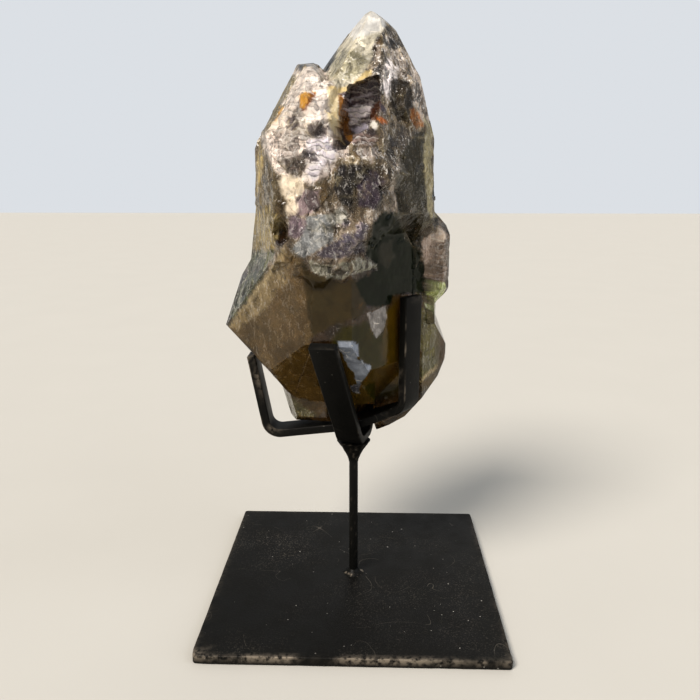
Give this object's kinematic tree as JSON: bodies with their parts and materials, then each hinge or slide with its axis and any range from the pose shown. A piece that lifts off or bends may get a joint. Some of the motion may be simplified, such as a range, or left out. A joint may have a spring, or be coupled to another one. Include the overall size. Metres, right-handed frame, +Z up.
{
  "type": "crystal on display stand",
  "caption": "Elestial smoky quartz point with stepped overgrowths, held upright by bent flat-bar prongs on a thin rod over a square steel plate.",
  "frame": {"origin": "centre of the base plate's underside", "axes": "+Z up along the rod, +X to the viewer's right when the stone's etched face looks at the viewer, +Y away from the viewer"},
  "size_m": [0.1016, 0.1016, 0.201],
  "materials": {
    "painted_steel": "satin",
    "weld": "satin",
    "smoky_quartz": "gloss"
  },
  "bodies": {
    "root": {"base_plate": "painted_steel", "rod": "painted_steel", "foot_weld": "weld", "hub_weld": "weld", "side_strap": "painted_steel", "cross_strap": "painted_steel", "quartz_crystal": "smoky_quartz"}
  },
  "joints": []
}
